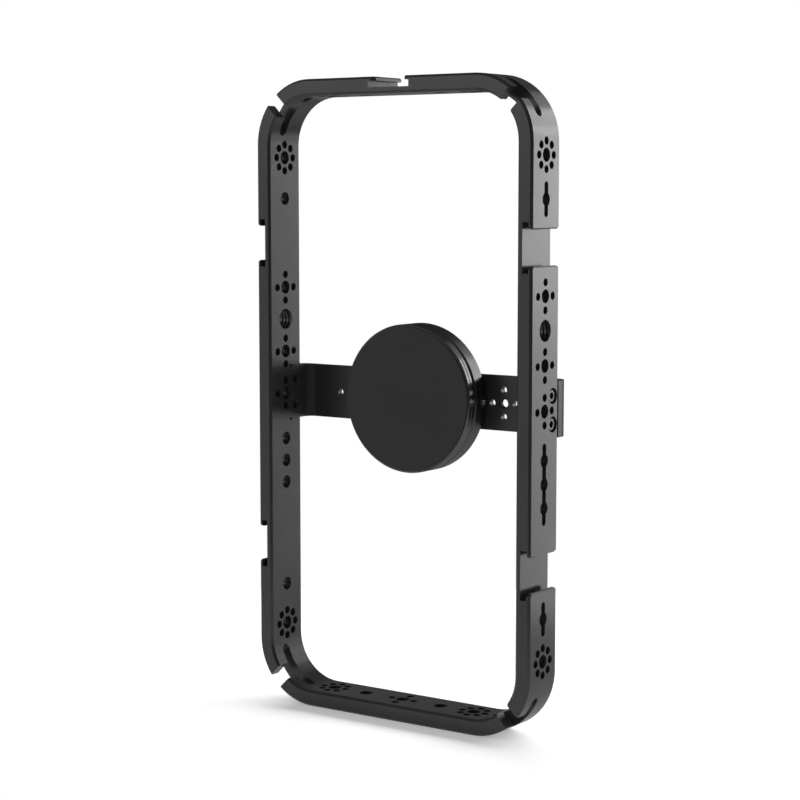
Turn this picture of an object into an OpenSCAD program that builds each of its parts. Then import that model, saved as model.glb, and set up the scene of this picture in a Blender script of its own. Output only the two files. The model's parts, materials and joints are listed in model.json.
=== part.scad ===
// Phone cage: a one-piece ring frame, a bridge bar across its back and a
// swivelling magnetic puck that holds the phone inside the ring.
// Millimetres, +Z up, front of the cage towards -Y. The origin is the mouth
// of the tripod thread in the middle of the bottom face.

/* [Cage frame] */
// Overall height of the frame
frame_h = 250; // [244:1:290]
// Overall width of the frame
frame_w = 128.4; // [122:0.2:150]
// Depth of the frame from its front face to its back face
frame_d = 20; // [19:0.5:26]
// Thickness of the rails
rail_t = 6.45; // [6.2:0.05:8]
// Outer radius of the four corners
corner_r = 25.4; // [23:0.2:29]
// Chamfer along the four long edges of the rails
edge_chamfer = 0.9; // [0.3:0.1:1.3]

/* [Cold shoes] */
// Width of a shoe's channel under its lips
shoe_channel_w = 18.8; // [18.4:0.1:19.4]
// Width of a shoe's mouth between its lips
shoe_mouth_w = 13.6; // [12.6:0.1:14.2]
// Height of the channel that the shoe foot slides in
shoe_channel_h = 2.65; // [2.2:0.05:3]
// Thickness of the lips
shoe_lip_t = 1.45; // [1.2:0.05:1.8]
// Rounding of the lips' corners at the front and back of the rail
shoe_lip_round = 1.9; // [1.6:0.1:2.4]
// Chamfer along the lips' outer edges
shoe_lip_chamfer = 0.45; // [0.2:0.05:0.6]
// Distance from a side shoe's middle to the near end of the frame
shoe_from_end = 64.2; // [62:0.2:68]

/* [Accessory holes] */
// Bore of the small accessory threads, 1/4 inch 20 per inch
quarter_bore_d = 5.25; // [4.95:0.05:5.4]
// Bore of the large accessory threads, 3/8 inch 16 per inch
three_eighth_bore_d = 8.15; // [7.8:0.05:8.4]
// Diameter of the locating pin holes in the rails
pin_hole_d = 3.05; // [2.8:0.05:3.2]
// Radius of the circle that the pin holes lie on
pin_circle_r = 5.2; // [5.1:0.05:5.5]
// Distance from an eight-pin ring on a side rail to the near end of the frame
ring_from_end = 30.25; // [29:0.25:33]
// Distance from a lone thread on a side rail to the near end of the frame
lone_from_end = 46.5; // [45.5:0.25:48.5]
// Height of the upper four-pin cross above the frame's middle
upper_cross_z = 42.85; // [41.5:0.05:44]
// Height of the large thread above the frame's middle
large_thread_z = 30.05; // [29:0.05:31]
// Height of the lower four-pin cross above the frame's middle
lower_cross_z = 17; // [16.5:0.05:17.5]
// Drop of the row of three threads below the frame's middle
row_drop = 27.45; // [26.5:0.05:29]
// Pitch of the row of three threads
row_pitch = 8.95; // [8:0.05:10]
// Distance of the eight-pin rings from the middle of the top and bottom rails
end_ring_x = 33.5; // [32:0.25:34]
// Distance of the lone threads from the middle of the top and bottom rails
end_lone_x = 17.9; // [17:0.1:18.5]
// Width of the locating grooves on the outer faces
groove_w = 2.7; // [2.4:0.1:3]
// Depth of the locating grooves
groove_depth = 2.5; // [1:0.1:3]
// Length of the groove through a lone thread
lone_groove_l = 13.2; // [12:0.2:15]
// Length of the groove through the row of three threads
row_groove_l = 31; // [29:0.5:34]

/* [Strap slots] */
// Length of the strap slot across a corner
strap_slot_l = 20.7; // [17:0.1:22]
// Width of the strap slot
strap_slot_w = 4.2; // [2.5:0.1:5]
// Distance of the strap slot in front of the rail's mid-depth
strap_slot_forward = 2; // [1:0.1:3]
// Width of the notch that opens the strap slot to the front
notch_w = 6.4; // [5:0.1:8]
// Radius where the notch meets the strap slot
notch_round = 1; // [0.4:0.1:1.5]

/* [Bridge bar] */
// Height of the bar
bar_h = 21.4; // [20:0.2:24]
// Thickness of the bar's plate
bar_t = 2.6; // [2:0.1:3.5]
// Space between the back of the frame and the front of the plate
bar_standoff = 5.7; // [4.5:0.1:8]
// Outer radius of the bar's two back corners
bar_outer_r = 5.8; // [3:0.1:7]
// Fillet between the plate and its feet
bar_inner_r = 3.6; // [1:0.1:4]
// Thickness of the tongues let into the rails
tongue_t = 2.4; // [2:0.05:2.8]
// Reach of the tongues in front of the frame's back face
tongue_l = 6.7; // [6.2:0.1:7]
// Clearance around a tongue in its pocket
pocket_gap = 0.1; // [0.05:0.05:0.2]
// Radius of the relief at the pocket's inner corners
pocket_relief_r = 0.75; // [0.5:0.05:1]
// Distance of the spare thread patterns from the middle of the bar
bar_cross_x = 36.6; // [36:0.2:42]
// Bore of the spare threads, M4
bar_thread_bore_d = 3.3; // [3.2:0.05:3.45]
// Diameter of the countersunk mouths of the spare threads
bar_thread_mouth_d = 4.3; // [4:0.1:4.6]
// Diameter of the locating pin holes in the bar
bar_pin_hole_d = 2.6; // [2.5:0.05:2.8]

/* [Bridge screws] */
// Thread diameter of the bridge screws
bridge_screw_d = 3; // [2.5:0.5:3]
// Head diameter of the bridge screws
bridge_head_d = 5.5; // [5:0.1:5.6]
// Head height of the bridge screws
bridge_head_h = 2.2; // [1.8:0.1:2.4]
// Depth of those heads under the rail's outer face
bridge_head_sink = 0.6; // [0.1:0.05:0.8]
// Chamfer around the top of those heads
bridge_head_chamfer = 0.6; // [0.2:0.1:0.8]
// Hexagon socket across its flats
bridge_socket_af = 2.5; // [2:0.1:2.6]
// Depth of that socket
bridge_socket_depth = 1.2; // [0.8:0.1:1.4]
// Depth of the screws' tips under the tongues' inner faces
bridge_tip_inset = 1; // [0.2:0.1:1.2]
// Spacing of the two screws in each foot
bridge_screw_pitch = 10.7; // [10.4:0.1:12]
// Distance of the screws from the frame's back face
bridge_screw_inset = 4.05; // [3.8:0.05:4.2]
// Space around a screw head in its counterbore
counterbore_gap = 0.3; // [0.1:0.05:0.3]

/* [Puck base] */
// Height of the puck's axis above the middle of the bar
puck_rise = 0.7; // [0:0.1:1.5]
// Height of the pedestal between the bar and the base
pedestal_h = 1.3; // [0.6:0.1:2.5]
// Diameter of the pedestal
pedestal_d = 30; // [26:0.5:36]
// Thickness of the base
base_t = 7; // [6.6:0.1:9]
// Thickness of the base's floor
base_floor_t = 2; // [1.5:0.1:2.4]
// Thickness of the base's walls
base_wall = 2.2; // [1.6:0.1:2.6]
// Small chamfer on the rims of the base and head
rim_chamfer = 0.6; // [0.2:0.05:0.7]
// Count of ribs inside the base
base_ribs = 8; // [4:1:12]
// Thickness of those ribs
base_rib_t = 1.6; // [1:0.1:2.2]

/* [Swivel] */
// Gap between the base and the turning head
swivel_gap = 0.7; // [0.5:0.05:1.2]
// Diameter of the core's journal that the head turns on
journal_d = 14; // [13:0.1:15]
// Radial running clearance of the bush on the journal
running_gap = 0.05; // [0.02:0.01:0.1]
// Wall of the bush
bush_wall = 1.5; // [1:0.1:2]
// Width of the bush's thrust flange outside its sleeve
bush_flange = 3.5; // [2:0.1:4]
// Diameter of the core's spigot through the base
spigot_d = 16; // [15.4:0.1:17]
// Diameter of the core's flange inside the base
core_flange_d = 22; // [20:0.2:23]
// Thickness of the core's flange
core_flange_t = 2; // [1.5:0.1:2.4]
// Outer diameter of the friction ring
friction_outer_d = 50; // [47:0.2:51]
// Inner diameter of the friction ring
friction_inner_d = 42; // [41.4:0.2:44]
// Depth of the friction ring's seat in the base
friction_seat = 0.8; // [0.4:0.1:1.5]
// Free height of the disc spring
spring_h = 0.5; // [0.4:0.05:0.7]
// Sheet thickness of the disc spring
spring_t = 0.25; // [0.15:0.05:0.3]
// Width of the disc spring's ring
spring_w = 4; // [2.5:0.1:4.5]
// Thickness of the retaining washer
retainer_t = 0.6; // [0.5:0.05:0.7]
// Thread diameter of the pivot screw
pivot_screw_d = 4; // [3:0.5:4]
// Head diameter of the pivot screw
pivot_head_d = 7; // [6:0.1:8]
// Head height of the pivot screw
pivot_head_h = 0.5; // [0.4:0.05:0.6]
// Width across flats of the pivot screw's socket
pivot_socket_af = 2; // [1.5:0.5:2]
// Depth of that socket
pivot_socket_depth = 1; // [0.8:0.1:1.5]

/* [Magnet head] */
// Thickness of the head, pad included
head_t = 4.5; // [4.5:0.05:5.5]
// Thickness of the head shell's floor
head_floor_t = 1; // [0.8:0.05:1.2]
// Height of the joint between shell and cover above the back of the head
cover_split = 2; // [1.7:0.05:2.4]
// Thickness of the rim wall of shell and cover
head_wall = 1.7; // [1.4:0.1:1.9]
// Fine chamfer on both sides of the joint between shell and cover
split_chamfer = 0.2; // [0.1:0.05:0.3]
// Thickness of the steel back plate
back_plate_t = 0.5; // [0.4:0.05:0.6]
// Outer diameter of the ring of magnets, which the puck is built around
magnet_outer_d = 54; // [52:0.1:58]
// Width of the ring of magnets
magnet_w = 4; // [3:0.1:5]
// Space between the magnets and the rim wall
magnet_side_gap = 0.5; // [0.3:0.05:0.8]
// Count of magnets in the ring
magnet_count = 18; // [12:1:24]
// Gap between neighbouring magnets
magnet_gap = 0.4; // [0.3:0.05:0.8]
// Thickness of the cover's skin in front of the magnets
cover_skin = 0.5; // [0.4:0.05:0.6]
// Thickness of the rib inside the ring of magnets
cover_rib_t = 0.8; // [0.6:0.05:1]
// Bevel around the front of the cover
cover_bevel = 0.5; // [0.3:0.05:0.6]
// Thickness of the pad
pad_t = 0.8; // [0.6:0.05:1]
// Height that the pad stands proud of the cover
pad_proud = 0.4; // [0.2:0.05:0.5]
// Edge radius of the pad
pad_round = 0.3; // [0.1:0.05:0.35]
// Lip of the cover around the pad
pad_lip = 0.7; // [0.6:0.05:0.9]
// Thickness of the adhesive film under the pad
film_t = 0.1; // [0.08:0.01:0.15]
// Thread diameter of the head screws
head_screw_d = 2; // [1.6:0.1:2]
// Head diameter of the head screws
head_screw_head_d = 3.8; // [3:0.1:3.8]
// Radius of the circle that the head screws lie on
head_screw_r = 17; // [16:0.1:17.4]
// Wall of the cover's bosses around the head screws
boss_wall = 1.2; // [0.8:0.1:1.5]

/* [Mount screw] */
// Thread diameter of the screw that holds the base to the bar
mount_screw_d = 6.35; // [6:0.05:6.35]
// Head diameter of that screw
mount_head_d = 11; // [10:0.1:12]
// Head height of that screw
mount_head_h = 3.2; // [2.5:0.1:4]
// Height of the straight edge under the head's dome
mount_head_edge = 0.5; // [0.3:0.1:1]
// Hexagon socket across its flats
mount_socket_af = 4; // [3:0.5:5]
// Depth of that socket
mount_socket_depth = 1.9; // [1.5:0.1:2.2]
// Reach of the screw in front of the bar
mount_screw_reach = 5; // [4:0.1:5.4]
// Diameter of the two locating pins beside the screw
locating_pin_d = 2.5; // [2.3:0.05:2.5]
// Reach of those pins into the core
locating_pin_reach = 3; // [2:0.1:3.2]

/* [Fits] */
// Clearance between seated flat faces and around pressed pieces
seat_gap = 0.05; // [0.02:0.01:0.08]
// Radial clearance between a screw and the thread that it is in
thread_gap = 0.05; // [0.03:0.01:0.1]
// Radial clearance between a screw and a plain hole that it passes through
pass_gap = 0.2; // [0.1:0.05:0.3]

/* [Hidden] */
$fn = 64;
// Length by which a cutter runs past the face that it opens
past = 1;
mid_z = frame_h / 2;
half_w = frame_w / 2;
half_d = frame_d / 2;
corner_x = half_w - corner_r;
corner_z = mid_z - corner_r;
inner_x = half_w - rail_t;
// Distance along each side rail, from its middle, of what sits near its ends
shoe_z = mid_z - shoe_from_end;
ring_z = mid_z - ring_from_end;
lone_z = mid_z - lone_from_end;
// Bar and feet
bar_front_y = half_d + bar_standoff;
bar_back_y = bar_front_y + bar_t;
foot_front_y = half_d + seat_gap;
tongue_front_y = half_d - tongue_l;
bridge_screw_y = half_d - bridge_screw_inset;
counterbore_d = bridge_head_d + 2 * counterbore_gap;
counterbore_depth = bridge_head_h + bridge_head_sink + seat_gap;
bridge_tip_z = bridge_head_sink + bridge_tip_inset - rail_t;
// Heights along the puck's axis, measured forward from the front of the bar
base_back = pedestal_h;
base_front = pedestal_h + base_t;
base_floor = base_back + base_floor_t;
head_back = base_front + swivel_gap;
head_floor = head_back + head_floor_t;
split_z = head_back + cover_split;
head_front = head_back + head_t;
pad_back = head_front - pad_t;
film_back = pad_back - film_t - seat_gap;
cover_front = head_front - pad_proud;
skin_back = film_back - cover_skin;
plate_front = head_floor + seat_gap + back_plate_t;
core_flange_front = base_floor + seat_gap + core_flange_t;
journal_front = head_floor + spring_h + seat_gap;
retainer_front = journal_front + seat_gap + retainer_t;
puck_r = magnet_outer_d / 2 + magnet_side_gap + head_wall;
magnet_inner_r = magnet_outer_d / 2 - magnet_w;
pad_r = puck_r - pad_lip;
bush_outer_d = journal_d + 2 * running_gap + 2 * bush_wall;
spring_inner_d = journal_d + 2 * pass_gap;
spring_outer_d = spring_inner_d + 2 * spring_w;
cover_rib_r = magnet_inner_r - seat_gap;
core_bore_depth = mount_screw_reach + past / 2;
pivot_screw_reach = journal_front - core_bore_depth - past;
base_hub_r = core_flange_d / 2 + seat_gap + base_wall;
friction_wall_r = friction_inner_d / 2 - seat_gap - base_wall;

// Places its children on a side rail: +Z out of the outer face, +Y up the rail
module on_side(side)
    translate([side * half_w, 0, mid_z])
        rotate([90, 0, 90 * side])
            children();

// Places its children on the top or bottom rail: +Z out of the outer face, +Y along +X
module on_end(top)
    translate([0, 0, top ? frame_h : 0])
        rotate(top ? [0, 0, -90] : [180, 0, 90])
            children();

// Places its children at a corner: +Z out along the diagonal, +X along the corner
module on_corner(side, end)
    translate([side * corner_x, 0, mid_z + end * corner_z])
        rotate([0, atan2(side, end), 0])
            children();

// Places its children on the puck's axis: +Z forward, zero at the front of the bar
module on_puck()
    translate([0, bar_front_y, mid_z + puck_rise])
        rotate([90, 0, 0])
            children();

// Section of a rail: X from its inner face to its outer face, Y through its depth
module rail_section(start = 0)
    polygon([
        [start + edge_chamfer, -half_d],
        [start + rail_t - edge_chamfer, -half_d],
        [start + rail_t, -half_d + edge_chamfer],
        [start + rail_t, half_d - edge_chamfer],
        [start + rail_t - edge_chamfer, half_d],
        [start + edge_chamfer, half_d],
        [start, half_d - edge_chamfer],
        [start, -half_d + edge_chamfer]
    ]);

// Closed ring of four straight rails and four quarter-round corners
module ring_blank() {
    for (quarter = [0:3]) {
        upright = quarter % 2 == 0;
        length = 2 * (upright ? corner_z : corner_x);
        reach = upright ? half_w : mid_z;
        translate([0, 0, mid_z])
            rotate([0, quarter * 90, 0])
                translate([reach - rail_t, 0, -length / 2])
                    linear_extrude(length)
                        rail_section();
    }
    for (side = [-1, 1], end = [-1, 1])
        translate([side * corner_x, 0, mid_z + end * corner_z])
            rotate([90, 0, 0])
                rotate(side > 0 ? (end > 0 ? 0 : 270) : (end > 0 ? 90 : 180))
                    rotate_extrude(angle = 90)
                        rail_section(corner_r - rail_t);
}

// Straight hole through a rail
module rail_bore(d)
    translate([0, 0, -rail_t - past])
        cylinder(d = d, h = rail_t + 2 * past);

// Thread with a ring of locating pin holes around it
module pin_pattern(count, bore = quarter_bore_d) {
    rail_bore(bore);
    for (i = [0:count - 1])
        rotate(i * 360 / count)
            translate([pin_circle_r, 0, 0])
                rail_bore(pin_hole_d);
}

// Groove with round ends along the rail, sunk into its outer face
module locating_groove(length)
    translate([0, 0, -groove_depth]) {
        straight = length - groove_w;
        for (end = [-1, 1])
            translate([0, end * straight / 2, 0])
                cylinder(d = groove_w, h = groove_depth + past);
        translate([-groove_w / 2, -straight / 2, 0])
            cube([groove_w, straight, groove_depth + past]);
    }

// Cutter that rounds a lip's corner, about the middle of its rounding: +X towards
// the front or back of the rail, -Y towards the mouth
module lip_corner() {
    reach = shoe_lip_round + past;
    bottom = -shoe_lip_t - shoe_channel_h / 2;
    difference() {
        translate([0, -reach, bottom])
            cube([reach, reach, past / 2 - bottom]);
        rotate_extrude()
            polygon([
                [0, bottom - past],
                [shoe_lip_round, bottom - past],
                [shoe_lip_round, -shoe_lip_chamfer],
                [shoe_lip_round - shoe_lip_chamfer - past, past],
                [0, past]
            ]);
    }
}

// Cold shoe: a channel under two lips, open at the front and back of the rail
module shoe_slot() {
    through = frame_d + 2 * past;
    floor_z = -shoe_lip_t - shoe_channel_h;
    lip_y = shoe_mouth_w / 2;
    flare_y = lip_y + shoe_lip_chamfer + past;
    translate([-through / 2, -shoe_channel_w / 2, floor_z])
        cube([through, shoe_channel_w, shoe_channel_h]);
    translate([-through / 2, 0, 0])
        rotate([90, 0, 90])
            linear_extrude(through)
                polygon([
                    [-lip_y, floor_z],
                    [lip_y, floor_z],
                    [lip_y, -shoe_lip_chamfer],
                    [flare_y, past],
                    [-flare_y, past],
                    [-lip_y, -shoe_lip_chamfer]
                ]);
    for (face = [0, 1], end = [0, 1])
        mirror([face, 0, 0])
            mirror([0, end, 0])
                translate([half_d - shoe_lip_round, lip_y + shoe_lip_round, 0])
                    lip_corner();
}

// Strap slot through a corner, with the notch that opens it to the front
module strap_slot() {
    start = corner_r - 2 * rail_t;
    through = 2 * rail_t + past;
    straight = strap_slot_l - strap_slot_w;
    slot_front_y = -strap_slot_forward - strap_slot_w / 2;
    translate([0, 0, start]) {
        for (end = [-1, 1])
            translate([end * straight / 2, -strap_slot_forward, 0])
                cylinder(d = strap_slot_w, h = through);
        translate([-straight / 2, slot_front_y, 0])
            cube([straight, strap_slot_w, through]);
        translate([-notch_w / 2, -half_d - past, 0])
            cube([notch_w, half_d + past - strap_slot_forward, through]);
        for (side = [-1, 1])
            translate([side * (notch_w / 2 + notch_round), slot_front_y - notch_round, 0])
                difference() {
                    translate([side > 0 ? -notch_round : 0, 0, 0])
                        cube([notch_round, notch_round, through]);
                    translate([0, 0, -past])
                        cylinder(r = notch_round, h = through + 2 * past);
                }
    }
}

// Pocket in a rail's inner face for a tongue of the bridge bar, with its screw holes
module tongue_pocket(side) {
    pocket_x = bridge_screw_inset - half_d;
    front_x = -(tongue_front_y - pocket_gap);
    pocket_h = bar_h + 2 * pocket_gap;
    floor_z = -rail_t + tongue_t + seat_gap;
    mirror([side > 0 ? 1 : 0, 0, 0]) {
        translate([-half_d - past, -pocket_h / 2, -rail_t - past])
            cube([half_d + past + front_x, pocket_h, floor_z + rail_t + past]);
        for (end = [-1, 1]) {
            translate([front_x, end * pocket_h / 2, -rail_t - past])
                cylinder(r = pocket_relief_r, h = floor_z + rail_t + past);
            translate([pocket_x, end * bridge_screw_pitch / 2, 0]) {
                rail_bore(bridge_screw_d + 2 * pass_gap);
                translate([0, 0, -counterbore_depth])
                    cylinder(d = counterbore_d, h = counterbore_depth + past);
            }
        }
    }
}

// All that is cut into one side rail
module side_rail_cuts(side)
    on_side(side) {
        for (end = [-1, 1]) {
            translate([0, end * shoe_z, 0])
                shoe_slot();
            translate([0, end * ring_z, 0])
                pin_pattern(8);
            translate([0, end * lone_z, 0]) {
                rail_bore(quarter_bore_d);
                locating_groove(lone_groove_l);
            }
        }
        for (cross_z = [upper_cross_z, lower_cross_z, 0])
            translate([0, cross_z, 0])
                pin_pattern(4);
        translate([0, large_thread_z, 0])
            rail_bore(three_eighth_bore_d);
        translate([0, -row_drop, 0]) {
            for (i = [-1:1])
                translate([0, i * row_pitch, 0])
                    rail_bore(quarter_bore_d);
            locating_groove(row_groove_l);
        }
        tongue_pocket(side);
    }

// All that is cut into the top or bottom rail
module end_rail_cuts(top)
    on_end(top) {
        for (side = [-1, 1]) {
            translate([0, side * end_ring_x, 0])
                pin_pattern(8);
            translate([0, side * end_lone_x, 0])
                rail_bore(quarter_bore_d);
        }
        if (top)
            shoe_slot();
        else
            pin_pattern(4);
    }

// One-piece aluminium ring with its shoes, threads, pin holes and strap slots
module cage_frame()
    color("#2b2b2d")
        difference() {
            ring_blank();
            for (side = [-1, 1])
                side_rail_cuts(side);
            end_rail_cuts(true);
            end_rail_cuts(false);
            for (side = [-1, 1], end = [-1, 1])
                on_corner(side, end)
                    strap_slot();
        }

// Square corner less a circle, at the origin, spreading along -X and -Y
module corner_spandrel(r)
    difference() {
        translate([-r, -r])
            square([r + past, r + past]);
        translate([-r, -r])
            circle(r);
    }

// Outline of the bar seen from above: a plate with a foot and a tongue at each end
module bar_outline()
    for (side = [0, 1])
        mirror([side, 0])
            difference() {
                union() {
                    translate([0, bar_front_y])
                        square([half_w, bar_t]);
                    translate([inner_x, foot_front_y])
                        square([rail_t, bar_back_y - foot_front_y]);
                    translate([inner_x, tongue_front_y])
                        square([tongue_t, bar_back_y - tongue_front_y]);
                    difference() {
                        translate([inner_x - bar_inner_r, bar_front_y - bar_inner_r])
                            square([bar_inner_r + tongue_t, bar_inner_r + bar_t / 2]);
                        translate([inner_x - bar_inner_r, bar_front_y - bar_inner_r])
                            circle(bar_inner_r);
                    }
                }
                translate([half_w, bar_back_y])
                    corner_spandrel(bar_outer_r);
            }

// Hole through the plate of the bar
module bar_bore(d)
    translate([0, 0, -bar_t - past])
        cylinder(d = d, h = bar_t + 2 * past);

// Four locating pin holes around a hole in the bar
module bar_pin_holes()
    for (i = [0:3])
        rotate(i * 90)
            translate([pin_circle_r, 0, 0])
                bar_bore(bar_pin_hole_d);

// Spare thread through the bar, countersunk at both mouths
module bar_thread() {
    sink = (bar_thread_mouth_d - bar_thread_bore_d) / 2;
    flare_d = bar_thread_mouth_d + 2 * past;
    bar_bore(bar_thread_bore_d);
    translate([0, 0, -sink])
        cylinder(d1 = bar_thread_bore_d, d2 = flare_d, h = sink + past);
    translate([0, 0, -bar_t - past])
        cylinder(d1 = flare_d, d2 = bar_thread_bore_d, h = sink + past);
}

// Bridge across the back of the frame, screwed to both side rails
module bridge_bar()
    color("#161617")
        difference() {
            translate([0, 0, mid_z - bar_h / 2])
                linear_extrude(bar_h)
                    bar_outline();
            translate([0, bar_front_y, mid_z])
                rotate([90, 0, 0])
                    for (side = [-1, 1])
                        translate([side * bar_cross_x, 0, 0]) {
                            bar_thread();
                            bar_pin_holes();
                        }
            on_puck() {
                bar_bore(mount_screw_d + 2 * pass_gap);
                bar_pin_holes();
            }
            for (side = [-1, 1], end = [-1, 1])
                on_side(side)
                    translate([side * bridge_screw_y, end * bridge_screw_pitch / 2, -rail_t - past])
                        cylinder(d = bridge_screw_d + 2 * thread_gap, h = rail_t);
        }

// Hexagon socket sunk from the top of a screw head at the origin
module hex_socket(across_flats, depth)
    translate([0, 0, -depth])
        cylinder(d = across_flats / cos(30), h = depth + past, $fn = 6);

// Four socket-head screws that hold the bar's tongues
module bridge_screws()
    color("#3a3a3c")
        for (side = [-1, 1], end = [-1, 1])
            on_side(side)
                translate([side * bridge_screw_y, end * bridge_screw_pitch / 2, -bridge_head_sink])
                    difference() {
                        rotate_extrude()
                            polygon([
                                [0, 0],
                                [bridge_head_d / 2 - bridge_head_chamfer, 0],
                                [bridge_head_d / 2, -bridge_head_chamfer],
                                [bridge_head_d / 2, -bridge_head_h],
                                [bridge_screw_d / 2, -bridge_head_h],
                                [bridge_screw_d / 2, bridge_tip_z],
                                [0, bridge_tip_z]
                            ]);
                        hex_socket(bridge_socket_af, bridge_socket_depth);
                    }

// Screw from behind the bar into the pivot core, with a domed head
module mount_screw()
    color("#2a2a2b")
        on_puck() {
            head_r = mount_head_d / 2;
            head_back_z = -bar_t - seat_gap - mount_head_h;
            dome_h = mount_head_h - mount_head_edge;
            dome_r = (head_r * head_r + dome_h * dome_h) / (2 * dome_h);
            difference() {
                union() {
                    rotate_extrude()
                        polygon([
                            [0, mount_screw_reach],
                            [mount_screw_d / 2 - rim_chamfer, mount_screw_reach],
                            [mount_screw_d / 2, mount_screw_reach - rim_chamfer],
                            [mount_screw_d / 2, head_back_z + mount_socket_depth],
                            [0, head_back_z + mount_socket_depth]
                        ]);
                    rotate_extrude()
                        intersection() {
                            translate([0, head_back_z])
                                square([head_r, mount_head_h]);
                            translate([0, head_back_z + dome_r])
                                circle(dome_r);
                        }
                }
                translate([0, 0, head_back_z])
                    mirror([0, 0, 1])
                        hex_socket(mount_socket_af, mount_socket_depth);
            }
        }

// Two steel pins that stop the base from twisting on the bar
module locating_pins()
    color("#8f9196")
        on_puck()
            for (side = [-1, 1])
                translate([side * pin_circle_r, 0, -bar_t])
                    cylinder(d = locating_pin_d, h = bar_t + locating_pin_reach);

// Moulded base of the puck: rim, floor, hub, friction ring seat and ribs
module puck_base()
    color("#0f0f10")
        on_puck()
            difference() {
                union() {
                    rotate_extrude()
                        polygon([
                            [0, 0],
                            [pedestal_d / 2, 0],
                            [pedestal_d / 2, base_back],
                            [puck_r - rim_chamfer, base_back],
                            [puck_r, base_back + rim_chamfer],
                            [puck_r, base_floor],
                            [0, base_floor]
                        ]);
                    rotate_extrude()
                        polygon([
                            [friction_wall_r, base_back],
                            [puck_r, base_floor],
                            [puck_r, base_front - rim_chamfer],
                            [puck_r - rim_chamfer, base_front],
                            [friction_wall_r, base_front]
                        ]);
                    cylinder(r = base_hub_r, h = base_front - friction_seat);
                    for (i = [0:base_ribs - 1])
                        rotate(i * 360 / base_ribs)
                            translate([base_hub_r - base_wall / 2, -base_rib_t / 2, base_back])
                                cube([friction_wall_r - base_hub_r + base_wall,
                                      base_rib_t, base_front - friction_seat - base_back]);
                }
                translate([0, 0, -past])
                    cylinder(d = spigot_d + 2 * seat_gap, h = base_front + 2 * past);
                translate([0, 0, base_floor])
                    cylinder(d = core_flange_d + 2 * seat_gap, h = base_t);
                translate([0, 0, base_front - friction_seat])
                    difference() {
                        cylinder(d = friction_outer_d + 2 * seat_gap, h = friction_seat + past);
                        translate([0, 0, -past])
                            cylinder(d = friction_inner_d - 2 * seat_gap, h = friction_seat + 3 * past);
                    }
            }

// Turned brass core in the base: journal in front, mount thread behind
module pivot_core()
    color("#b59a52")
        on_puck()
            difference() {
                rotate_extrude()
                    polygon([
                        [0, seat_gap],
                        [spigot_d / 2, seat_gap],
                        [spigot_d / 2, base_floor + seat_gap],
                        [core_flange_d / 2, base_floor + seat_gap],
                        [core_flange_d / 2, core_flange_front],
                        [journal_d / 2, core_flange_front],
                        [journal_d / 2, journal_front],
                        [0, journal_front]
                    ]);
                translate([0, 0, seat_gap - past])
                    cylinder(d = mount_screw_d + 2 * thread_gap, h = core_bore_depth + past);
                translate([0, 0, journal_front - pivot_screw_reach])
                    cylinder(d = pivot_screw_d + 2 * thread_gap, h = pivot_screw_reach + past);
                for (side = [-1, 1])
                    translate([side * pin_circle_r, 0, seat_gap - past])
                        cylinder(d = locating_pin_d + 2 * seat_gap,
                                 h = locating_pin_reach + past);
            }

// Low-friction ring that the head bears on as it turns
module friction_ring()
    color("#d8d4c8")
        on_puck()
            translate([0, 0, base_front - friction_seat + seat_gap])
                difference() {
                    height = friction_seat + swivel_gap - 2 * seat_gap;
                    cylinder(d = friction_outer_d, h = height);
                    translate([0, 0, -past])
                        cylinder(d = friction_inner_d, h = height + 2 * past);
                }

// Coned spring washer that presses the head onto the friction ring
module disc_spring()
    color("#9a9ca0")
        on_puck()
            rotate_extrude()
                polygon([
                    [spring_outer_d / 2, head_floor + seat_gap],
                    [spring_outer_d / 2, head_floor + seat_gap + spring_t],
                    [spring_inner_d / 2, head_floor + spring_h],
                    [spring_inner_d / 2, head_floor + spring_h - spring_t]
                ]);

// Washer over the journal that holds the spring down
module retaining_washer()
    color("#85878b")
        on_puck()
            translate([0, 0, journal_front + seat_gap])
                difference() {
                    cylinder(d = spring_outer_d, h = retainer_t);
                    translate([0, 0, -past])
                        cylinder(d = pivot_screw_d + 2 * pass_gap, h = retainer_t + 2 * past);
                }

// Low-head screw that clamps the washer to the core
module pivot_screw()
    color("#6f7175")
        on_puck()
            difference() {
                head_base = retainer_front + seat_gap;
                union() {
                    translate([0, 0, head_base])
                        cylinder(d = pivot_head_d, h = pivot_head_h);
                    translate([0, 0, journal_front - pivot_screw_reach + seat_gap])
                        cylinder(d = pivot_screw_d, h = pivot_screw_reach + retainer_t + 2 * seat_gap);
                }
                translate([0, 0, head_base + pivot_head_h])
                    hex_socket(pivot_socket_af, pivot_socket_depth);
            }

// Places its children at the four head screws
module at_head_screws()
    for (i = [0:3])
        rotate(45 + i * 90)
            translate([head_screw_r, 0, 0])
                children();

// Rear half of the turning head: a shallow cup
module head_shell()
    color("#111112")
        on_puck()
            difference() {
                rotate_extrude()
                    polygon([
                        [bush_outer_d / 2 + seat_gap, head_back],
                        [puck_r - rim_chamfer, head_back],
                        [puck_r, head_back + rim_chamfer],
                        [puck_r, split_z - split_chamfer],
                        [puck_r - split_chamfer, split_z],
                        [puck_r - head_wall, split_z],
                        [puck_r - head_wall, head_floor],
                        [bush_outer_d / 2 + seat_gap, head_floor]
                    ]);
                at_head_screws() {
                    translate([0, 0, head_back - past])
                        cylinder(d = head_screw_d + 2 * pass_gap, h = head_floor_t + 2 * past);
                    translate([0, 0, head_back])
                        cylinder(d1 = head_screw_head_d + 2 * pass_gap, d2 = head_screw_d + 2 * pass_gap,
                                 h = head_floor_t - seat_gap);
                }
            }

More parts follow.
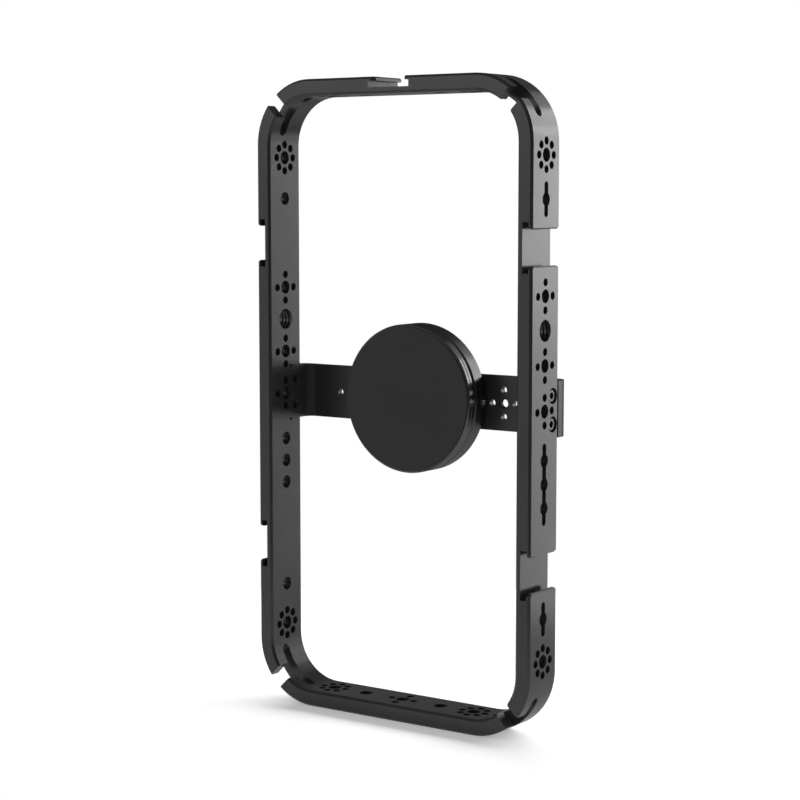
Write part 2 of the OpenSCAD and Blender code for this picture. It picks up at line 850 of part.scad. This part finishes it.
// Flanged plain bearing pressed into the head shell
module swivel_bush()
    color("#c9c7bd")
        on_puck()
            rotate_extrude()
                polygon([
                    [journal_d / 2 + running_gap, base_front + seat_gap],
                    [bush_outer_d / 2 + bush_flange, base_front + seat_gap],
                    [bush_outer_d / 2 + bush_flange, head_back - seat_gap],
                    [bush_outer_d / 2, head_back - seat_gap],
                    [bush_outer_d / 2, head_floor],
                    [journal_d / 2 + running_gap, head_floor]
                ]);

// Four countersunk screws from the back of the shell into the cover
module head_screws()
    color("#77797d")
        on_puck()
            at_head_screws() {
                shank_front = skin_back - 2 * seat_gap;
                translate([0, 0, head_back + seat_gap])
                    cylinder(d1 = head_screw_head_d, d2 = head_screw_d,
                             h = head_floor_t - 2 * seat_gap);
                translate([0, 0, head_back + 2 * seat_gap])
                    cylinder(d = head_screw_d, h = shank_front - head_back - 2 * seat_gap);
            }

// Steel ring that closes the magnets' field towards the back
module back_plate()
    color("#a3a5a8")
        on_puck()
            translate([0, 0, head_floor + seat_gap])
                difference() {
                    cylinder(r = puck_r - head_wall - 2 * seat_gap, h = back_plate_t);
                    translate([0, 0, -past])
                        cylinder(r = cover_rib_r - cover_rib_t, h = back_plate_t + 2 * past);
                }

// Ring of arc magnets on the back plate
module magnets()
    color("#b9bbbe")
        on_puck() {
            thickness = skin_back - plate_front - 2 * seat_gap;
            middle_r = magnet_inner_r + magnet_w / 2;
            gap_angle = magnet_gap / middle_r * 180 / PI;
            for (i = [0:magnet_count - 1])
                rotate(i * 360 / magnet_count)
                    translate([0, 0, plate_front + seat_gap])
                        rotate_extrude(angle = 360 / magnet_count - gap_angle)
                            translate([magnet_inner_r, 0])
                                square([magnet_w, thickness]);
        }

// Front half of the head: rim, skin over the magnets, inner rib and screw bosses
module magnet_cover()
    color("#111112")
        on_puck() {
            rib_back = plate_front + seat_gap;
            boss_r = head_screw_d / 2 + thread_gap + boss_wall;
            difference() {
                union() {
                    rotate_extrude()
                        polygon([
                            [0, skin_back],
                            [puck_r - head_wall, skin_back],
                            [puck_r - head_wall, split_z + seat_gap],
                            [puck_r - split_chamfer, split_z + seat_gap],
                            [puck_r, split_z + seat_gap + split_chamfer],
                            [puck_r, cover_front - cover_bevel],
                            [puck_r - cover_bevel, cover_front],
                            [pad_r + seat_gap, cover_front],
                            [pad_r + seat_gap, film_back],
                            [0, film_back]
                        ]);
                    translate([0, 0, rib_back])
                        difference() {
                            cylinder(r = cover_rib_r, h = film_back - rib_back);
                            translate([0, 0, -past])
                                cylinder(r = cover_rib_r - cover_rib_t, h = film_back);
                        }
                    at_head_screws()
                        translate([0, 0, head_floor + seat_gap])
                            cylinder(r = boss_r, h = film_back - head_floor - seat_gap);
                }
                at_head_screws()
                    translate([0, 0, head_back])
                        cylinder(d = head_screw_d + 2 * thread_gap, h = skin_back - head_back);
            }
        }

// Adhesive film that holds the pad
module pad_film()
    color("#5a5a58")
        on_puck()
            translate([0, 0, film_back + seat_gap / 2])
                cylinder(r = pad_r - pad_lip, h = film_t);

// Soft pad that the phone rests against
module face_pad()
    color("#333334")
        on_puck()
            rotate_extrude() {
                polygon([
                    [0, pad_back],
                    [pad_r, pad_back],
                    [pad_r, head_front - pad_round],
                    [pad_r - pad_round, head_front],
                    [0, head_front]
                ]);
                translate([pad_r - pad_round, head_front - pad_round])
                    intersection() {
                        circle(pad_round);
                        square(pad_round);
                    }
            }

cage_frame();
bridge_bar();
bridge_screws();
mount_screw();
locating_pins();
puck_base();
pivot_core();
friction_ring();
disc_spring();
retaining_washer();
pivot_screw();
head_shell();
swivel_bush();
head_screws();
back_plate();
magnets();
magnet_cover();
pad_film();
face_pad();
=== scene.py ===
import bpy
import json
import math
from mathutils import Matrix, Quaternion, Vector


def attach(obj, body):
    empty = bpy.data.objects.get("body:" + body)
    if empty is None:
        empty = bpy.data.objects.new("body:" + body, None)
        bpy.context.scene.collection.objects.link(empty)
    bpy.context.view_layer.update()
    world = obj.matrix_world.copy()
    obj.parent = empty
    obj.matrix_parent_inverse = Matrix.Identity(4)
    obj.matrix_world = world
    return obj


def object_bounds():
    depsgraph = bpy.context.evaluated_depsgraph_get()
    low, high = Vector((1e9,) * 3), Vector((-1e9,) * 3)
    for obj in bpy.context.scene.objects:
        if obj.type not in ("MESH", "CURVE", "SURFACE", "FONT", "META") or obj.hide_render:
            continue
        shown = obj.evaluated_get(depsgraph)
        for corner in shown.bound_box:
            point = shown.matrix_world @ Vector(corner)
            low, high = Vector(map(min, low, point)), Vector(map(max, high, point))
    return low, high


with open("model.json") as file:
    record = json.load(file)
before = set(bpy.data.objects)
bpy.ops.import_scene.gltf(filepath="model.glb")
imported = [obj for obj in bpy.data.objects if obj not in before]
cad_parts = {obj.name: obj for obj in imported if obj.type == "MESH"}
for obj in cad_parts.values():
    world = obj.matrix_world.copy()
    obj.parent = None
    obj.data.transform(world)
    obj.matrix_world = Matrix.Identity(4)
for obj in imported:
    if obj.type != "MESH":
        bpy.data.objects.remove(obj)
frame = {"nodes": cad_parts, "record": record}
nodes = frame["nodes"]
cad_box = [list(corner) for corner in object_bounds()]


# Cage frame: one ring milled from a slab of aluminium, bead blasted and then
# anodised black. Blasting leaves an even fine grain, and the dye takes a
# little unevenly along the rails.

def grained(name, colour, uneven, metallic, gloss, grain_mm, grain_height_mm,
            draw=(1, 1, 1), cloud_mm=35, edge=1.0):
    """Finish with a fine grain in its relief and slow clouds in its colour and gloss.

    uneven is the share by which the clouds change the colour, and gloss holds the lowest and
    highest roughness. draw stretches the grain along an axis where its number is small, as
    brushing, turning and rolling do. edge below 1 dims what the finish mirrors at a glancing
    angle.
    """
    material = bpy.data.materials.new(name)
    material.use_nodes = True
    tree = material.node_tree
    tree.nodes.clear()
    output = tree.nodes.new("ShaderNodeOutputMaterial")
    surface = tree.nodes.new("ShaderNodeBsdfPrincipled")
    surface.inputs["Metallic"].default_value = metallic
    surface.inputs["Specular Tint"].default_value = (edge, edge, edge, 1)
    tree.links.new(surface.outputs["BSDF"], output.inputs["Surface"])
    place = tree.nodes.new("ShaderNodeTexCoord")
    stretch = tree.nodes.new("ShaderNodeMapping")
    stretch.inputs["Scale"].default_value = draw
    tree.links.new(place.outputs["Object"], stretch.inputs["Vector"])
    clouds = tree.nodes.new("ShaderNodeTexNoise")
    clouds.inputs["Scale"].default_value = 1000 / cloud_mm
    clouds.inputs["Detail"].default_value = 3
    tree.links.new(place.outputs["Object"], clouds.inputs["Vector"])
    grain = tree.nodes.new("ShaderNodeTexNoise")
    grain.inputs["Scale"].default_value = 1000 / grain_mm
    grain.inputs["Detail"].default_value = 2
    tree.links.new(stretch.outputs["Vector"], grain.inputs["Vector"])
    dye = tree.nodes.new("ShaderNodeValToRGB")
    dye.color_ramp.elements[0].position = 0.3
    dye.color_ramp.elements[0].color = (*[c * (1 - uneven) for c in colour], 1)
    dye.color_ramp.elements[1].position = 0.7
    dye.color_ramp.elements[1].color = (*[c * (1 + uneven) for c in colour], 1)
    tree.links.new(clouds.outputs["Fac"], dye.inputs["Fac"])
    tree.links.new(dye.outputs["Color"], surface.inputs["Base Color"])
    sum_of_both = tree.nodes.new("ShaderNodeMath")
    sum_of_both.operation = "ADD"
    tree.links.new(grain.outputs["Fac"], sum_of_both.inputs[0])
    tree.links.new(clouds.outputs["Fac"], sum_of_both.inputs[1])
    sheen = tree.nodes.new("ShaderNodeMapRange")
    sheen.inputs["From Min"].default_value = 0.7
    sheen.inputs["From Max"].default_value = 1.3
    sheen.inputs["To Min"].default_value = gloss[0]
    sheen.inputs["To Max"].default_value = gloss[1]
    tree.links.new(sum_of_both.outputs["Value"], sheen.inputs["Value"])
    tree.links.new(sheen.outputs["Result"], surface.inputs["Roughness"])
    relief = tree.nodes.new("ShaderNodeBump")
    relief.inputs["Strength"].default_value = 0.5
    relief.inputs["Distance"].default_value = grain_height_mm / 1000
    tree.links.new(grain.outputs["Fac"], relief.inputs["Height"])
    tree.links.new(relief.outputs["Normal"], surface.inputs["Normal"])
    return material


def dress(node, material):
    """Gives a CAD node its finish."""
    mesh = nodes[node].data
    mesh.materials.clear()
    mesh.materials.append(material)


anodised_black = grained("anodised_black", colour=(0.06, 0.06, 0.0605), uneven=0.08, metallic=0.45,
                         gloss=(0.22, 0.28), grain_mm=0.3, grain_height_mm=0.003, edge=0.65)
dress("cage_frame", anodised_black)


# Threads in the frame: camera threads cut straight into the rails, 20 turns
# per inch in the small holes and 16 in the large ones. A thread that has a
# locating groove across its mouth starts under the groove.

def thread_tree():
    """Geometry nodes: one coil of V-shaped crest on each point, along its hole's direction."""
    tree = bpy.data.node_groups.new("thread_crests", "GeometryNodeTree")
    for label, kind in (("Holes", "NodeSocketGeometry"), ("Bore radius", "NodeSocketFloat"),
                        ("Crest height", "NodeSocketFloat"), ("Pitch", "NodeSocketFloat"),
                        ("Turns", "NodeSocketFloat"), ("Finish", "NodeSocketMaterial")):
        tree.interface.new_socket(label, in_out="INPUT", socket_type=kind)
    tree.interface.new_socket("Threads", in_out="OUTPUT", socket_type="NodeSocketGeometry")
    given = tree.nodes.new("NodeGroupInput")
    made = tree.nodes.new("NodeGroupOutput")
    coil = tree.nodes.new("GeometryNodeCurveSpiral")
    coil.inputs["Resolution"].default_value = 24
    rise = tree.nodes.new("ShaderNodeMath")
    rise.operation = "MULTIPLY"
    tree.links.new(given.outputs["Pitch"], rise.inputs[0])
    tree.links.new(given.outputs["Turns"], rise.inputs[1])
    tree.links.new(given.outputs["Turns"], coil.inputs["Rotations"])
    tree.links.new(given.outputs["Bore radius"], coil.inputs["Start Radius"])
    tree.links.new(given.outputs["Bore radius"], coil.inputs["End Radius"])
    tree.links.new(rise.outputs["Value"], coil.inputs["Height"])
    upright = tree.nodes.new("GeometryNodeSetCurveNormal")
    upright.mode = "Z_UP"
    tree.links.new(coil.outputs["Curve"], upright.inputs["Curve"])
    crest = tree.nodes.new("GeometryNodeCurvePrimitiveCircle")
    crest.inputs["Resolution"].default_value = 4
    tree.links.new(given.outputs["Crest height"], crest.inputs["Radius"])
    sweep = tree.nodes.new("GeometryNodeCurveToMesh")
    sweep.inputs["Fill Caps"].default_value = True
    tree.links.new(upright.outputs["Curve"], sweep.inputs["Curve"])
    tree.links.new(crest.outputs["Curve"], sweep.inputs["Profile Curve"])
    direction = tree.nodes.new("GeometryNodeInputNamedAttribute")
    direction.data_type = "FLOAT_VECTOR"
    direction.inputs["Name"].default_value = "into_hole"
    turn = tree.nodes.new("FunctionNodeAlignRotationToVector")
    turn.axis = "Z"
    tree.links.new(direction.outputs["Attribute"], turn.inputs["Vector"])
    placed = tree.nodes.new("GeometryNodeInstanceOnPoints")
    tree.links.new(given.outputs["Holes"], placed.inputs["Points"])
    tree.links.new(sweep.outputs["Mesh"], placed.inputs["Instance"])
    tree.links.new(turn.outputs["Rotation"], placed.inputs["Rotation"])
    real = tree.nodes.new("GeometryNodeRealizeInstances")
    tree.links.new(placed.outputs["Instances"], real.inputs["Geometry"])
    painted = tree.nodes.new("GeometryNodeSetMaterial")
    tree.links.new(real.outputs["Geometry"], painted.inputs["Geometry"])
    tree.links.new(given.outputs["Finish"], painted.inputs["Material"])
    tree.links.new(painted.outputs["Geometry"], made.inputs["Threads"])
    return tree


def plain_mesh(piece):
    """Bakes a piece's geometry nodes into its mesh and drops the modifier."""
    bpy.context.view_layer.update()
    worked_out = piece.evaluated_get(bpy.context.evaluated_depsgraph_get())
    baked = bpy.data.meshes.new_from_object(worked_out)
    piece.modifiers.clear()
    piece.data = baked


thread_crests = thread_tree()


def cut_threads(name, holes, bore_radius, pitch, depth, finish):
    """Threads in like holes. Each hole is a mouth and the direction into it, in millimetres."""
    lead_in = 0.5
    sunk_in_wall = 0.04
    crest_share = 0.24
    starts = [[(m + lead_in * d) / 1000 for m, d in zip(mouth, way)] for mouth, way in holes]
    mesh = bpy.data.meshes.new(name)
    mesh.from_pydata(starts, [], [])
    ways = mesh.attributes.new("into_hole", "FLOAT_VECTOR", "POINT")
    for value, (mouth, way) in zip(ways.data, holes):
        value.vector = way
    piece = bpy.data.objects.new(name, mesh)
    bpy.context.scene.collection.objects.link(piece)
    modifier = piece.modifiers.new("threads", "NODES")
    modifier.node_group = thread_crests
    sizes = {
        "Bore radius": (bore_radius + sunk_in_wall) / 1000,
        "Crest height": crest_share * pitch / 1000,
        "Pitch": pitch / 1000,
        "Turns": (depth - 2 * lead_in) / pitch,
        "Finish": finish,
    }
    for socket in thread_crests.interface.items_tree:
        if socket.name in sizes:
            modifier[socket.identifier] = sizes[socket.name]
    plain_mesh(piece)
    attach(piece, "cage")
    return piece


mounts = {mount["name"]: mount for mount in frame["record"]["mounts"]}


def mount_place(name):
    """Where a mount of the frame lies, in millimetres."""
    return [1000 * value for value in mounts[name]["pos_m"]]


half_width = cad_box[1][0] * 1000
top = cad_box[1][2] * 1000
middle = top / 2
pin_patterns = ("ring_right_lower", "ring_right_upper", "cross_right_upper", "cross_right_lower")
open_heights = [mount_place(pattern)[2] for pattern in pin_patterns]
open_heights.append(middle)
ring_along = mount_place("ring_bottom_right")[0]
single_along = 17.9
slotted_from_middle = 78.5
row_middle = mount_place("thread_row_right")[2]
row_step = mounts["thread_row_right"]["dims"]["spacing_y_mm"] / 2
grooved_heights = [middle - slotted_from_middle, middle + slotted_from_middle]
grooved_heights += [row_middle + row_step * step for step in (1, 0, -1)]
large_height = mount_place("large_thread_right")[2]
rail = mounts["tripod_thread"]["dims"]["length_mm"]
groove = 2.5
upward = (0, 0, 1)
downward = (0, 0, -1)
open_threads = [((0, 0, 0), upward)]
grooved_threads = []
large_threads = []
for side in (-1, 1):
    inward = (-side, 0, 0)
    for height in open_heights:
        open_threads.append(((side * half_width, 0, height), inward))
    for along in (ring_along, single_along):
        open_threads.append(((side * along, 0, 0), upward))
        open_threads.append(((side * along, 0, top), downward))
    for height in grooved_heights:
        grooved_threads.append(((side * (half_width - groove), 0, height), inward))
    large_threads.append(((side * half_width, 0, large_height), inward))
inch = 25.4
small_pitch = inch / 20
large_pitch = inch / 16
small_bore = mounts["tripod_thread"]["dims"]["r_mm"]
large_bore = mounts["large_thread_right"]["dims"]["r_mm"]
# The thread crests are painted a deeper black than the frame's: painted shade for the dark inside of
# the threaded holes.
thread_shade_black = grained("thread_shade_black", colour=(0.018, 0.018, 0.0183), uneven=0.08, metallic=0.3,
                       gloss=(0.5, 0.6), grain_mm=0.1, grain_height_mm=0.003, edge=0.3)
cut_threads("frame_threads", open_threads, small_bore, small_pitch, rail, thread_shade_black)
cut_threads("grooved_threads", grooved_threads, small_bore, small_pitch, rail - groove, thread_shade_black)
cut_threads("large_threads", large_threads, large_bore, large_pitch, rail, thread_shade_black)


# Bridge bar: a flat bar with a foot and a tongue milled at each end, let into
# the rails from behind. Its black is deeper and smoother than the frame's,
# with the faint lines of the cutter along it.

bar_black = grained("bar_black", colour=(0.055, 0.055, 0.056), uneven=0.05, metallic=0.4,
                    gloss=(0.28, 0.36), grain_mm=0.2, grain_height_mm=0.003,
                    draw=(0.08, 1, 1), edge=0.5)
dress("bridge_bar", bar_black)
bar_hole_along, bar_back, bar_height = mount_place("bar_cross_right")
bar_thickness = 2.6
bar_front = bar_back - bar_thickness
bar_bore = 1.65
bar_pitch = 0.7
backward = (0, 1, 0)
bar_holes = [((side * bar_hole_along, bar_front, bar_height), backward) for side in (-1, 1)]
# The bar's threads carry the same painted shade.
cut_threads("bar_threads", bar_holes, bar_bore, bar_pitch, bar_thickness, thread_shade_black)


# Bridge screws: socket-head screws through the rails into the tongues, blacked
# in hot oxide over turned steel, two on each side.

oxide_steel = grained("oxide_steel", colour=(0.08, 0.08, 0.082), uneven=0.08, metallic=0.9,
                      gloss=(0.28, 0.4), grain_mm=0.15, grain_height_mm=0.003, draw=(0.2, 1, 1))
dress("bridge_screws", oxide_steel)


# Mount screw: a button-head camera screw from behind the bar into the puck's
# core, of the same blacked steel.

dress("mount_screw", oxide_steel)


# Locating pins: two short dowels of ground steel beside the mount screw, which
# keep the puck from twisting on the bar.

ground_steel = grained("ground_steel", colour=(0.52, 0.52, 0.53), uneven=0.04, metallic=1.0,
                       gloss=(0.18, 0.3), grain_mm=0.08, grain_height_mm=0.002, draw=(1, 0.1, 1))
dress("locating_pins", ground_steel)


# Puck base: the still half of the puck, die cast in aluminium with ribs inside,
# its rim turned smooth and the whole anodised black.

base_black = grained("base_black", colour=(0.118, 0.118, 0.1185), uneven=0.05, metallic=0.9,
                     gloss=(0.28, 0.34), grain_mm=0.5, grain_height_mm=0.002, edge=0.45)
dress("puck_base", base_black)


# Pivot core: turned brass, pressed into the base; the mount screw draws it
# against the bar and the head turns on its journal.

turned_brass = grained("turned_brass", colour=(0.62, 0.45, 0.16), uneven=0.05, metallic=1.0,
                       gloss=(0.2, 0.34), grain_mm=0.12, grain_height_mm=0.003, draw=(1, 0.1, 1))
dress("pivot_core", turned_brass)


# Friction ring: a ring of slick white plastic let into the base, which the
# head slides round on.

slick_white = grained("slick_white", colour=(0.72, 0.69, 0.62), uneven=0.03, metallic=0.0,
                      gloss=(0.4, 0.52), grain_mm=0.4, grain_height_mm=0.004)
dress("friction_ring", slick_white)


# Disc spring: a coned washer of rolled spring steel around the journal, which
# presses the head onto the friction ring.

rolled_steel = grained("rolled_steel", colour=(0.4, 0.4, 0.41), uneven=0.06, metallic=1.0,
                       gloss=(0.22, 0.36), grain_mm=0.15, grain_height_mm=0.003, draw=(0.1, 1, 1))
dress("disc_spring", rolled_steel)


# Retaining washer and pivot screw: zinc-plated steel that holds the spring and
# the head on the core.

zinc_plate = grained("zinc_plate", colour=(0.5, 0.51, 0.53), uneven=0.1, metallic=1.0,
                     gloss=(0.25, 0.42), grain_mm=0.6, grain_height_mm=0.003, cloud_mm=4)
dress("retaining_washer", zinc_plate)
dress("pivot_screw", zinc_plate)


# Head shell: the back half of the turning head, a shallow cup turned from
# aluminium and anodised in a smoother black than the frame.

smooth_black = grained("smooth_black", colour=(0.127, 0.127, 0.1275), uneven=0.04, metallic=0.9,
                       gloss=(0.22, 0.28), grain_mm=0.8, grain_height_mm=0.002, edge=0.42)
dress("head_shell", smooth_black)


# Swivel bush: a flanged bearing of pale slick plastic, pressed into the shell,
# which turns with it on the core's journal.

slick_cream = grained("slick_cream", colour=(0.6, 0.57, 0.48), uneven=0.03, metallic=0.0,
                      gloss=(0.36, 0.46), grain_mm=0.4, grain_height_mm=0.003)
dress("swivel_bush", slick_cream)


# Head screws: four small countersunk screws of zinc-plated steel that hold the
# cover on the shell.

dress("head_screws", zinc_plate)


# Back plate and magnets: a ring of rolled steel, plated in nickel as the arc
# magnets on it are, sealed inside the head.

bright_nickel = grained("bright_nickel", colour=(0.66, 0.64, 0.6), uneven=0.05, metallic=1.0,
                        gloss=(0.12, 0.24), grain_mm=0.3, grain_height_mm=0.002)
dress("back_plate", rolled_steel)
dress("magnets", bright_nickel)


# Magnet cover: the front half of the head, turned and anodised like the shell,
# with a bevelled lip around the pad.

dress("magnet_cover", smooth_black)


# Pad film and face pad: a matte silicone rubber disc on a film of adhesive, the
# face that the phone's back rests on.

tacky_film = grained("tacky_film", colour=(0.12, 0.12, 0.115), uneven=0.05, metallic=0.0,
                     gloss=(0.5, 0.6), grain_mm=0.5, grain_height_mm=0.004)
dress("pad_film", tacky_film)
soft_silicone = grained("soft_silicone", colour=(0.02, 0.02, 0.0204), uneven=0.04, metallic=0.0,
                        gloss=(0.55, 0.66), grain_mm=0.12, grain_height_mm=0.006)
dress("face_pad", soft_silicone)


# Floor: a round of seamless white paper that the cage stands on. It keeps the
# cage's shadow, and a light of its own lifts the rest of it to the white of the
# wall. Polished faces see it as a darker paper: painted shade, standing for the
# cage's own shade over the paper close under it.

floor_radius = 0.26
rim_angles = [math.radians(degree) for degree in range(0, 360, 3)]
floor_rim = [(floor_radius * math.cos(a), floor_radius * math.sin(a), 0) for a in rim_angles]
floor_mesh = bpy.data.meshes.new("floor")
floor_mesh.from_pydata(floor_rim, [], [list(range(len(floor_rim)))])
floor = bpy.data.objects.new("floor", floor_mesh)
bpy.context.scene.collection.objects.link(floor)


def combine(tree, operation, first, second):
    """What a math node makes of two values."""
    node = tree.nodes.new("ShaderNodeMath")
    node.operation = operation
    tree.links.new(first, node.inputs[0])
    tree.links.new(second, node.inputs[1])
    return node.outputs["Value"]


def between(tree, value, start, end, low, high):
    """low where the value is at start, high where it is at end, and even steps between."""
    node = tree.nodes.new("ShaderNodeMapRange")
    node.inputs["From Min"].default_value = start
    node.inputs["From Max"].default_value = end
    node.inputs["To Min"].default_value = low
    node.inputs["To Max"].default_value = high
    tree.links.new(value, node.inputs["Value"])
    return node.outputs["Result"]


def seen_rays(tree):
    """1 for what the eye, a polished face or glass sees, 0 for what only lights the scene."""
    path = tree.nodes.new("ShaderNodeLightPath")
    polished = combine(tree, "MAXIMUM", path.outputs["Is Camera Ray"], path.outputs["Is Glossy Ray"])
    return combine(tree, "MAXIMUM", polished, path.outputs["Is Transmission Ray"])


paper_white = 0.8
# Tone of the paper that polished faces see: painted shade for the cage's shade on it.
mirrored_shaded_paper = 0.4
paper_lift = 0.32
paper = bpy.data.materials.new("white_paper")
paper.use_nodes = True
paper_tree = paper.node_tree
paper_tree.nodes.clear()
paper_output = paper_tree.nodes.new("ShaderNodeOutputMaterial")
paper_path = paper_tree.nodes.new("ShaderNodeLightPath")
paper_tone = between(paper_tree, paper_path.outputs["Is Glossy Ray"], 0, 1, paper_white, mirrored_shaded_paper)
paper_face = paper_tree.nodes.new("ShaderNodeBsdfDiffuse")
paper_tree.links.new(paper_tone, paper_face.inputs["Color"])
paper_share = between(paper_tree, seen_rays(paper_tree), 0, 1, 0, paper_lift)
paper_glow = paper_tree.nodes.new("ShaderNodeEmission")
paper_tree.links.new(paper_share, paper_glow.inputs["Strength"])
paper_sum = paper_tree.nodes.new("ShaderNodeAddShader")
paper_tree.links.new(paper_face.outputs["BSDF"], paper_sum.inputs[0])
paper_tree.links.new(paper_glow.outputs["Emission"], paper_sum.inputs[1])
paper_tree.links.new(paper_sum.outputs["Shader"], paper_output.inputs["Surface"])
floor_mesh.materials.append(paper)


# Room: white on all sides to the eye. Polished faces see a low wall, pale at the
# front and sides, dim behind and dark where the camera stands, with a pale far
# floor and a dim ceiling. Matte faces take an even fill from it.

def pointing(tree, place, direction):
    """How far a place in the room lies in a direction: 1 straight along it, -1 opposite."""
    node = tree.nodes.new("ShaderNodeVectorMath")
    node.operation = "DOT_PRODUCT"
    node.inputs[1].default_value = direction
    tree.links.new(place, node.inputs[0])
    return node.outputs["Value"]


def grey(level):
    """Plain grey for a stop of a colour ramp."""
    return (level, level, level, 1)


up_a_little_back = (0, 0.08, 1)
to_the_camera = (0.57, -0.82, 0)
wall_dim = 0.15
wall_pale = 0.66
wall_full = 0.02
wall_end = 0.1
ceiling_start = 0.3
ceiling_full = 0.55
ceiling_low = 0.05
ceiling_high = 0.16
far_floor_pale = 0.5
far_floor_start = -0.2
far_floor_full = -0.4
straight_behind = -0.95
well_beside = -0.7
matte_fill = 0.25
world = bpy.data.worlds.new("white_room")
bpy.context.scene.world = world
world.use_nodes = True
room = world.node_tree
room.nodes.clear()
room_output = room.nodes.new("ShaderNodeOutputWorld")
room_light = room.nodes.new("ShaderNodeBackground")
room_light.inputs["Color"].default_value = (1, 1, 1, 1)
room.links.new(room_light.outputs["Background"], room_output.inputs["Surface"])
room_place = room.nodes.new("ShaderNodeTexCoord").outputs["Generated"]
room_height = pointing(room, room_place, up_a_little_back)
camera_side = pointing(room, room_place, to_the_camera)
wall_top = between(room, room_height, wall_end, wall_full, 0, 1)
wall_side = room.nodes.new("ShaderNodeValToRGB")
wall_side.color_ramp.elements[0].position = 0.45
wall_side.color_ramp.elements[0].color = grey(wall_dim)
wall_side.color_ramp.elements[1].position = 0.6
wall_side.color_ramp.elements[1].color = grey(wall_pale)
wall_side.color_ramp.elements.new(0.84).color = grey(wall_pale)
wall_side.color_ramp.elements.new(0.96).color = grey(0)
room.links.new(between(room, camera_side, -1, 1, 0, 1), wall_side.inputs["Fac"])
wall = combine(room, "MULTIPLY", wall_top, wall_side.outputs["Color"])
floor_depth = between(room, room_height, far_floor_start, far_floor_full, 0, far_floor_pale)
floor_side = between(room, camera_side, straight_behind, well_beside, 0, 1)
far_floor = combine(room, "MULTIPLY", floor_depth, floor_side)
wall_and_floor = combine(room, "MAXIMUM", wall, far_floor)
pale_seen = combine(room, "MULTIPLY", wall_and_floor, seen_rays(room))
room_path = room.nodes.new("ShaderNodeLightPath")
white_seen = combine(room, "MAXIMUM", pale_seen, room_path.outputs["Is Camera Ray"])
ceiling = between(room, room_height, ceiling_start, ceiling_full, ceiling_low, ceiling_high)
all_seen = combine(room, "MAXIMUM", white_seen, ceiling)
fill = between(room, seen_rays(room), 0, 1, matte_fill, 0)
room_level = combine(room, "MAXIMUM", all_seen, fill)
room.links.new(room_level, room_light.inputs["Strength"])


# Lamps: a tall bank of soft panels far behind to the right, in three parts, one
# panel in front to the left, one behind overhead and a small one close behind.
# A long strip behind lights the floor alone, and cards keep the others off it.

def soft_panel(name, location, target, width, height, brightness, lean=0, kept_off=(), only_on=()):
    """Rectangular soft light; brightness is that of its white face, where 1 is paper white.

    lean tips it about its own axis, in degrees. Black cards keep its light off some pieces,
    or let it through to a few alone.
    """
    lamp = bpy.data.lights.new(name, "AREA")
    lamp.shape = "RECTANGLE"
    lamp.size = width
    lamp.size_y = height
    lamp.energy = brightness * math.pi * width * height
    panel = bpy.data.objects.new(name, lamp)
    panel.location = location
    panel.rotation_mode = "QUATERNION"
    facing = (Vector(target) - Vector(location)).to_track_quat("-Z", "Y")
    panel.rotation_quaternion = facing @ Quaternion((0, 0, 1), math.radians(lean))
    panel.visible_camera = False
    bpy.context.scene.collection.objects.link(panel)
    cards = bpy.data.collections.new(name + "_cards")
    for piece in (*kept_off, *only_on):
        cards.objects.link(piece)
    for card in cards.collection_objects:
        card.light_linking.link_state = "INCLUDE" if only_on else "EXCLUDE"
    panel.light_linking.receiver_collection = cards


middle_of_cage = (0, 0, middle / 1000)
foot_of_cage = (0, 0, 0)
puck_rims = [nodes[name] for name in ("puck_base", "head_shell", "magnet_cover")]
bank_width = 1.05
soft_panel("side_panel", (2.762, 5.306, 0.596), middle_of_cage, bank_width, height=1.75,
           brightness=9.8, lean=-13, kept_off=[floor])
soft_panel("high_panel", (2.164, 5.225, 2.128), middle_of_cage, bank_width, height=2.1,
           brightness=7.6, lean=-37, kept_off=[floor])
soft_panel("low_panel", (2.874, 5.185, -0.803), middle_of_cage, bank_width, height=1.07,
           brightness=3.9, kept_off=[floor, *puck_rims])
soft_panel("front_panel", (-1.25, -1.25, 0.66), middle_of_cage, width=1.4, height=0.6,
           brightness=1.85, kept_off=[floor])
soft_panel("shoulder_panel", (0.256, 2.661, 1.487), middle_of_cage, width=0.9, height=0.68,
           brightness=1.8, kept_off=[floor])
soft_panel("back_panel", (-0.252, 0.373, 0.12), middle_of_cage, width=0.4, height=0.14,
           brightness=0.15, kept_off=[floor])
soft_panel("floor_strip", (-0.2, 3.95, 1.9), foot_of_cage, width=10.4, height=1.94,
           brightness=9.8, only_on=[floor])


# Camera: a long lens in front of the cage and to its right, a little above its
# middle and aimed close to it.

camera_place = Vector((0.44599, -0.64053, 0.20715))
camera_target = Vector((-0.001349, 0, 0.125416))
camera_data = bpy.data.cameras.new("photo_camera")
camera_data.lens = 90.62
camera_data.sensor_width = 36
camera = bpy.data.objects.new("photo_camera", camera_data)
camera.location = camera_place
camera.rotation_mode = "QUATERNION"
camera.rotation_quaternion = (camera_target - camera_place).to_track_quat("-Z", "Y")
bpy.context.scene.collection.objects.link(camera)
bpy.context.scene.camera = camera
bpy.context.scene.view_settings.view_transform = "Standard"
